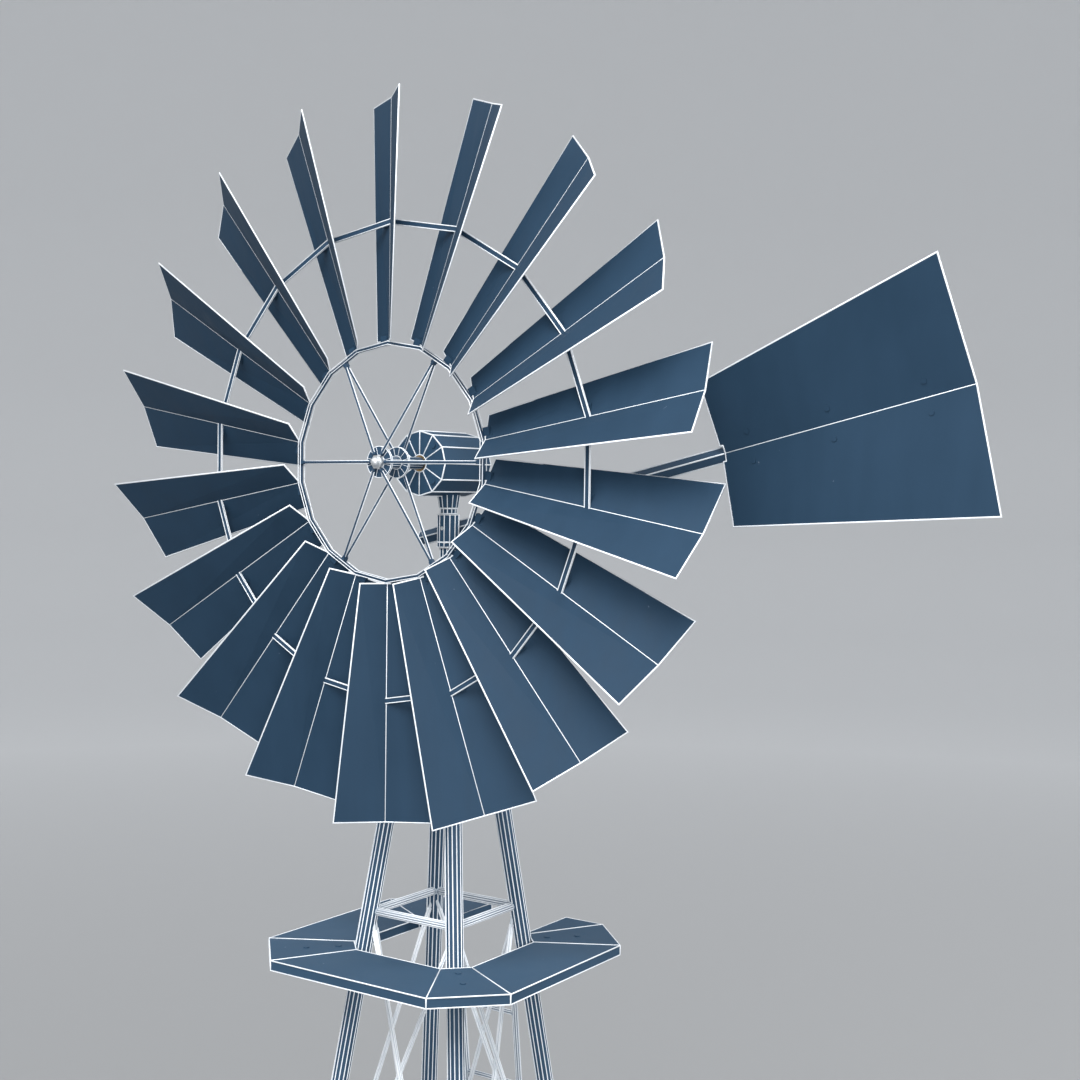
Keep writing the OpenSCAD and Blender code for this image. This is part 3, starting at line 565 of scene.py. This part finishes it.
def make_hub():
    """Edge lines on the flanges, the sleeve and the spokes, and a weld at each spoke's ends."""
    lines = Work()
    welds = Work()
    for side in (-1, 1):
        face_y = WHEEL_Y + side * FLANGE_OUT
        flange_lines(lines, face_y)
        flange_lines(lines, face_y - side * FLANGE_T)
    sleeve_lines(lines)
    for k in range(SPOKES):
        a = step_angle(k + 0.5, SPOKES)
        for side in (-1, 1):
            near = clock_point(a, SPOKE_NEAR, WHEEL_Y + side * SPOKE_NEAR_OUT)
            far = clock_point(a, SPOKE_FAR, WHEEL_Y + side * SPOKE_FAR_OUT)
            way = (far - near).normalized()
            beside = way.cross(BACK).normalized() * SPOKE_R
            for s in (-1, 1):
                lines.tube([near + beside * s, far + beside * s], 0.48 * MM)
            spoke_weld(welds, near, way, 1.75 * MM)
            spoke_weld(welds, far, way, 1.6 * MM)
    welds.piece("spoke_welds", "wheel", wheel_steel)
    lines.piece("hub_edges", "wheel", bright_edge)


# ---------- head ----------

def make_case():
    """Edge lines round and along the gear case, and from each corner to the covers' holes."""
    case = Work()
    ends = (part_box("front_cover")[0].y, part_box("rear_cover")[1].y)
    hole = COVER_HOLE_R + 0.4 * MM
    corners = [step_angle(k, CASE_SIDES) for k in range(CASE_SIDES)]
    for y in ends:
        case.tube([clock_point(a, CASE_R, y) for a in corners], 0.72 * MM, closed=True)
        case.ring((0, y, HUB_Z), BACK, hole, 0.6 * MM, 36)
        for a in corners:
            case.tube([clock_point(a, hole, y), clock_point(a, CASE_R, y)], 0.6 * MM)
    for a in corners:
        case.tube([clock_point(a, CASE_R, y) for y in ends], 0.72 * MM)
    case.piece("case_edges", "head", bright_edge)


def collar_lines(work, low, high, rim_in, line_in, bead):
    """Rims and fine lines on a collar of the mast, set in from its ends."""
    for z in (low + rim_in, high - rim_in):
        work.ring((0, 0, z), UP, COLLAR_R, 0.45 * MM)
    work.lines_along((0, 0, low + line_in), (0, 0, high - line_in), COLLAR_R - SUNK, bead,
                     first=0.5)


def flare_lines(work, z):
    """Rim of the flare, and its slant lines up to the flats of the case."""
    work.ring((0, 0, z), UP, FLARE_R, 0.5 * MM)
    top_z = HUB_Z - CASE_R * math.cos(math.pi / CASE_SIDES) - 0.2 * MM
    top_r = FLARE_R + (top_z - z) / FLARE_H * FLARE_GROWTH
    feet = circle((0, 0, z), -BACK, RIGHT, FLARE_R, 12)
    tops = circle((0, 0, top_z), -BACK, RIGHT, top_r, 12)
    for foot, top in zip(feet, tops):
        work.tube([foot, top], 0.5 * MM, 6)


def make_mast_lines():
    """Fine lines on the mast's two visible stretches, the flare and the tail's rest collar."""
    lines = Work()
    collar_low, collar_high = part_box("tail_collar")
    flare_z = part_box("mast_flare")[0].z
    rest_z = collar_low.z - COLLAR_H - END_PLAY
    for z0, z1 in ((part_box("tower_cap")[1].z + 15 * MM, rest_z - 0.4 * MM),
                   (collar_high.z + 0.6 * MM, flare_z - 0.2 * MM)):
        lines.lines_along((0, 0, z0), (0, 0, z1), MAST_R - SUNK, 0.55 * MM)
        for z in (z0 + 0.4 * MM, z1 - 0.4 * MM):
            lines.ring((0, 0, z), UP, MAST_R + 0.1 * MM, 0.5 * MM)
    flare_lines(lines, flare_z)
    collar_lines(lines, rest_z, rest_z + COLLAR_H, 0.2 * MM, 0.3 * MM, 0.5 * MM)
    lines.piece("mast_lines", "head", bright_edge)


# ---------- tail ----------

BOOM_WAY = Vector((math.cos(TAIL_RISE), 0, math.sin(TAIL_RISE)))
BOOM_UP = Vector((-math.sin(TAIL_RISE), 0, math.cos(TAIL_RISE)))
BOOM_ZERO = Vector((0, BOOM_Y, HUB_Z - BOOM_DROP))


def on_boom(along, up, behind):
    """Place given along the boom from the mast, up from it and behind its front edge."""
    return BOOM_ZERO + BOOM_WAY * along + BOOM_UP * up + BACK * behind


def vane_end(rows, edge):
    """Top, middle and bottom of the vane's sheet at one end, halfway through its thickness."""
    here = sorted((x for x in rows if abs(x[0] - edge) < 3e-5), key=lambda x: x[1])
    inner = sorted(here, key=lambda x: abs(x[1]))
    return [(a[2] + b[2]) / 2 for a, b in (here[-2:], inner[:2], here[:2])]


def make_vane():
    """A bright rolled edge round the vane and its boom notch, and its crease."""
    rows = [((p - BOOM_ZERO).dot(BOOM_WAY), (p - BOOM_ZERO).dot(BOOM_UP), p)
            for p in corners_of("tail_vane")]
    top_far, crease_far, low_far = vane_end(rows, max(row[0] for row in rows))
    top_near, _, low_near = vane_end(rows, min(row[0] for row in rows))
    crease_y = -0.7 * MM
    mouth = on_boom(VANE_START, 0, crease_y)
    crease_near = on_boom(VANE_START + NOTCH_LEN, 0, crease_y)
    notch_up = mouth + (top_near - mouth).normalized() * NOTCH_HALF
    notch_low = mouth + (low_near - mouth).normalized() * NOTCH_HALF
    step = BOOM_WAY * NOTCH_LEN
    vane = Work()
    vane.tube([crease_near, notch_up + step, notch_up, top_near, top_far, crease_far, low_far,
               low_near, notch_low, notch_low + step], EDGE_R, closed=True)
    vane.tube([crease_near, crease_far], CREASE_R)
    vane.piece("vane_edge", "tail", bright_edge)


def make_boom():
    """Edge lines along the boom's angle section, and round both its ends."""
    boom = Work()
    leg = BOOM_LEG / math.sqrt(2)
    heel = 0.2 * MM
    low = -BOOM_BACK
    high = (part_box("tail_boom")[1].x - BOOM_ZERO.x) / math.cos(TAIL_RISE) - 1 * MM
    boom.tube([on_boom(low, 0, heel), on_boom(VANE_START + NOTCH_LEN, 0, heel)], 0.7 * MM)
    for s in (-1, 1):
        boom.tube([on_boom(low, s * leg, leg), on_boom(high, s * leg, leg)], 0.75 * MM)
    for end in (low, high):
        boom.tube([on_boom(end, leg, leg), on_boom(end, 0, heel), on_boom(end, -leg, leg)],
                  0.75 * MM)
    boom.piece("boom_edge", "tail", bright_edge)


def make_tail_collar():
    """Rims and fine lines on the tail collar."""
    collar = Work()
    low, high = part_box("tail_collar")
    collar_lines(collar, low.z, high.z, 0.3 * MM, 0.5 * MM, 0.55 * MM)
    collar.piece("tail_collar_lines", "tail", bright_edge)


# ---------- tower ----------

def make_leg_lines():
    """Fine lines along each leg, from its socket to its top."""
    for name, corner in LEGS.items():
        lines = Work()
        lines.lines_along(leg_point(corner, SOCKET_H + 2 * MM), leg_point(corner, LEG_TOP - 1 * MM),
                          LEG_R - SUNK, 0.58 * MM)
        lines.piece(name + "_lines", "tower", bright_edge)


def octagon(w, k, z):
    """Corners of an octagon w from its middle, with straight sides of half-length k."""
    return [Vector((x, y, z)) for x, y in
            ((w, k), (k, w), (-k, w), (-w, k), (-w, -k), (-k, -w), (k, -w), (w, -k))]


def deck_outline(z):
    """The walkway's edge at height z, round the outside, the ladder gap and the well."""
    outer = octagon(DECK_HALF, DECK_SIDE, z)
    inner = octagon(WELL_HALF, WELL_SIDE, z)
    line = [Vector((-GAP_HALF, DECK_HALF, z))] + outer[2:] + outer[:2]
    line += [Vector((GAP_HALF, DECK_HALF, z)), Vector((GAP_HALF, WELL_HALF, z))]
    line += [inner[i] for i in (1, 0, 7, 6, 5, 4, 3, 2)] + [Vector((-GAP_HALF, WELL_HALF, z))]
    return line


def make_deck_edges():
    """Rolled edges on the deck and its skirts, their corners, and the folds between them."""
    deck = Work()
    top = deck_outline(DECK_TOP - 0.3 * MM)
    low = deck_outline(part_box("walkway_skirts")[0].z + 0.3 * MM)
    deck.tube(top, 0.68 * MM, closed=True)
    deck.tube(low, 0.62 * MM, closed=True)
    for ends in zip(top, low):
        deck.tube(ends, 0.7 * MM)
    for ends in zip(octagon(DECK_HALF, DECK_SIDE, DECK_TOP),
                    octagon(WELL_HALF, WELL_SIDE, DECK_TOP)):
        deck.tube(ends, 0.6 * MM)
    deck.piece("deck_edges", "tower", bright_edge)


def brace_welds(work, z):
    """Welds where the bars of a brace ring meet the legs."""
    for spin in face_turns():
        start = spin @ Vector((0, BRACE_INSET - half_at(z), z))
        for s in (-1, 1):
            corner = spin @ Vector((s, -1, 0))
            corner = (round(corner.x), round(corner.y))
            post = leg_point(corner, z)
            work.saddle(start, spin @ Vector((s, 0, 0)), BRACE_R + 0.3 * MM, post,
                        leg_point(corner, z + 0.1) - post, LEG_R + PROUD, 0.9 * MM)


def rung_welds(work, z):
    """Welds where a rung meets the rails."""
    for s in (-1, 1):
        post = ladder_point(s, z)
        work.saddle(Vector((0, post.y, z)), Vector((s, 0, 0)), RUNG_R + PROUD, post,
                    ladder_point(s, z + 0.1) - post, RAIL_R + 0.1 * MM, 0.6 * MM, 20)


def make_tower_welds():
    """Welds of the brace rings and of the ladder."""
    welds = Work()
    for i in range(BRACE_COUNT):
        brace_welds(welds, brace_z(i))
    for i in range(RUNG_COUNT):
        rung_welds(welds, rung_z(i))
    welds.piece("tower_welds", "tower", weld_steel)


def brace_lines(work, z):
    """Fine lines along the bars of a brace ring, between the legs' welds."""
    reach = half_at(z) - 9.6 * MM
    y = BRACE_INSET - half_at(z)
    for spin in face_turns():
        work.lines_along(spin @ Vector((-reach, y, z)), spin @ Vector((reach, y, z)),
                         BRACE_R + 0.25 * MM, 0.55 * MM, 10, first=0.5, side=spin @ BACK)


def rod_lines(work, z0, z1):
    """Fine lines along the crossed rods of one bay, whose rods end at heights z0 and z1."""
    for spin in face_turns():
        for s in (-1, 1):
            top = Vector((s * (half_at(z0) - ROD_INSET),
                          BRACE_INSET - half_at(z0) + s * ROD_OFFSET, z0))
            foot = Vector((-s * (half_at(z1) - ROD_INSET),
                           BRACE_INSET - half_at(z1) + s * ROD_OFFSET, z1))
            inset = (foot - top).normalized() * 14 * MM
            work.lines_along(spin @ (top + inset), spin @ (foot - inset), ROD_R + PROUD,
                             0.58 * MM, 6)


def ladder_lines(work):
    """Fine lines along the ladder's rungs and rails."""
    reach = LADDER_HALF - 3.4 * MM
    for i in range(RUNG_COUNT):
        z = rung_z(i)
        y = ladder_point(1, z).y
        work.lines_along((-reach, y, z), (reach, y, z), RUNG_R, 0.42 * MM, 6, first=0.5)
    low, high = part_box("ladder_rails")
    for s in (-1, 1):
        work.lines_along(ladder_point(s, low.z + 1 * MM), ladder_point(s, high.z - 1 * MM),
                         RAIL_R, 0.42 * MM, 8)


def make_brace_lines():
    """Fine lines on the brace rings, the crossed rods and the ladder."""
    lines = Work()
    for i in range(BRACE_COUNT):
        brace_lines(lines, brace_z(i))
    for i in range(BRACE_COUNT - 1):
        rod_lines(lines, brace_z(i) - ROD_END_GAP, brace_z(i + 1) + ROD_END_GAP)
    ladder_lines(lines)
    lines.piece("brace_and_rail_lines", "tower", bright_edge)


def make_foot_welds():
    """A weld round the foot of each leg's socket, and a rim round its top."""
    feet = Work()
    for corner in LEGS.values():
        weld = circle(leg_point(corner, FOOT_T), RIGHT, BACK, 11.2 * MM, 40)
        feet.tube(weld, 1.3 * MM, closed=True, ripple=0.18)
        way = (leg_point(corner, 0.1) - leg_point(corner, 0)).normalized()
        u = way.orthogonal().normalized()
        rim = circle(leg_point(corner, SOCKET_H), u, way.cross(u), 10.4 * MM, 40)
        feet.tube(rim, 0.7 * MM, closed=True)
    feet.piece("foot_welds", "tower", dark_iron)


def make_cap_rims():
    """Rims on the tower cap's plate and round the foot of its sleeve."""
    cap = Work()
    low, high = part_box("tower_cap")
    cap.ring((0, 0, high.z), UP, CAP_RIM_R, 0.8 * MM, 64)
    cap.ring((0, 0, high.z - CAP_PLATE_T), UP, CAP_RIM_R, 0.8 * MM, 64)
    cap.ring((0, 0, low.z), UP, CAP_SLEEVE_RIM_R, 0.6 * MM)
    cap.piece("cap_rims", "tower", dark_iron)


def make_leg_plugs():
    """A plug in the open top of each leg."""
    plugs = Work()
    profile = [(5.8 * MM, -4 * MM), (6.6 * MM, -1.5 * MM), (8.3 * MM, 0.1 * MM),
               (8.3 * MM, 0.8 * MM), (6.5 * MM, 1.5 * MM), (0, 1.8 * MM)]
    for corner in LEGS.values():
        way = leg_point(corner, 1.0) - leg_point(corner, 0)
        plugs.lathe(leg_point(corner, LEG_TOP), way, profile, 24)
    plugs.piece("leg_plugs", "tower", dark_iron)


make_blades()
make_ring_edges()
make_hub()
make_case()
make_mast_lines()
make_vane()
make_boom()
make_tail_collar()
make_leg_lines()
make_deck_edges()
make_tower_welds()
make_brace_lines()
make_foot_welds()
make_cap_rims()
make_leg_plugs()


# ---------- floor, light and camera ----------

FLOOR_SIDES = 96
# Radius and height of each ring of the floor, which curves up into a wall far off
FLOOR_RINGS = ((1, 0), (3, 0), (9, 0), (14, 0), (17, 0.35), (19.5, 1.5), (21, 3.5), (21.6, 6),
               (21.8, 9), (21.9, 14))


def floor_material():
    """Matt pale floor, a little darker under the lamps, so that it looks even."""
    made = bpy.data.materials.new("pale_floor")
    made.use_nodes = True
    tree = made.node_tree
    shader = tree.nodes["Principled BSDF"]
    shader.inputs["Roughness"].default_value = 0.9
    shader.inputs["Specular IOR Level"].default_value = 0.1
    place = add(tree, "ShaderNodeTexCoord", (-900, 0)).outputs["Object"]
    reach = tree.nodes.new("ShaderNodeVectorMath")
    reach.operation = "LENGTH"
    tree.links.new(place, reach.inputs[0])
    share = ranged(tree, (-450, 0), reach.outputs["Value"], 1.0, 11.0, 0.0, 1.0)
    tone = mix_colours(tree, (-200, 0), share, (0.27, 0.275, 0.28, 1), (0.71, 0.72, 0.73, 1))
    tree.links.new(tone, shader.inputs["Base Color"])
    return made


def make_floor():
    """Round floor whose rim rises into a wall, all its faces towards the windmill."""
    points = []
    for radius, height in FLOOR_RINGS:
        points += circle((0, 0, height), RIGHT, BACK, radius, FLOOR_SIDES)
    faces = [tuple(range(FLOOR_SIDES))]
    for i in range(len(FLOOR_RINGS) - 1):
        near, far = i * FLOOR_SIDES, (i + 1) * FLOOR_SIDES
        for k in range(FLOOR_SIDES):
            k2 = (k + 1) % FLOOR_SIDES
            faces.append((near + k2, near + k, far + k, far + k2))
    data = bpy.data.meshes.new("floor")
    data.from_pydata([tuple(p) for p in points], [], faces)
    for face in data.polygons:
        face.use_smooth = True
    data.materials.append(floor_material())
    floor = bpy.data.objects.new("floor", data)
    bpy.context.scene.collection.objects.link(floor)


def set_world():
    """Soft pale light from all round."""
    world = bpy.data.worlds.new("studio")
    bpy.context.scene.world = world
    world.use_nodes = True
    sky = world.node_tree.nodes["Background"]
    sky.inputs["Color"].default_value = (0.95, 0.97, 1.0, 1)
    sky.inputs["Strength"].default_value = 0.8


def area_light(name, place, aim, size, power):
    """Round soft lamp at place, turned towards aim."""
    data = bpy.data.lights.new(name, "AREA")
    data.shape = "DISK"
    data.size = size
    data.energy = power
    lamp = bpy.data.objects.new(name, data)
    lamp.location = place
    lamp.rotation_euler = (Vector(aim) - Vector(place)).to_track_quat("-Z", "Y").to_euler()
    bpy.context.scene.collection.objects.link(lamp)


def set_camera():
    """Camera a little below the shaft, in front of the wheel and to its right."""
    data = bpy.data.cameras.new("camera")
    camera = bpy.data.objects.new("camera", data)
    bpy.context.scene.collection.objects.link(camera)
    data.sensor_width = 36
    data.lens = 52.506
    data.clip_start = 0.05
    data.clip_end = 200
    place = (0.97823, -1.27546, HUB_Z - 0.02505)
    heading = Matrix.Rotation(math.radians(34.15), 4, "Z")
    tilt = Matrix.Rotation(math.radians(88.185), 4, "X")
    roll = Matrix.Rotation(math.radians(0.7055), 4, "Z")
    camera.matrix_world = Matrix.Translation(place) @ (heading @ tilt @ roll)
    bpy.context.scene.camera = camera
    bpy.context.scene.view_settings.view_transform = "Standard"


make_floor()
set_world()
area_light("key", (1.2, -3.0, 5.2), (0, 0, 1.9), 3.0, 190)
area_light("fill", (-1.2, -3.0, 5.2), (0, 0, 1.9), 3.0, 50)
area_light("front", (2.1, -2.75, 2.2), (0, 0, 2.0), 2.0, 52)
area_light("back", (3.3, 2.3, 4.6), (0, 0, 1.5), 3.0, 150)
set_camera()
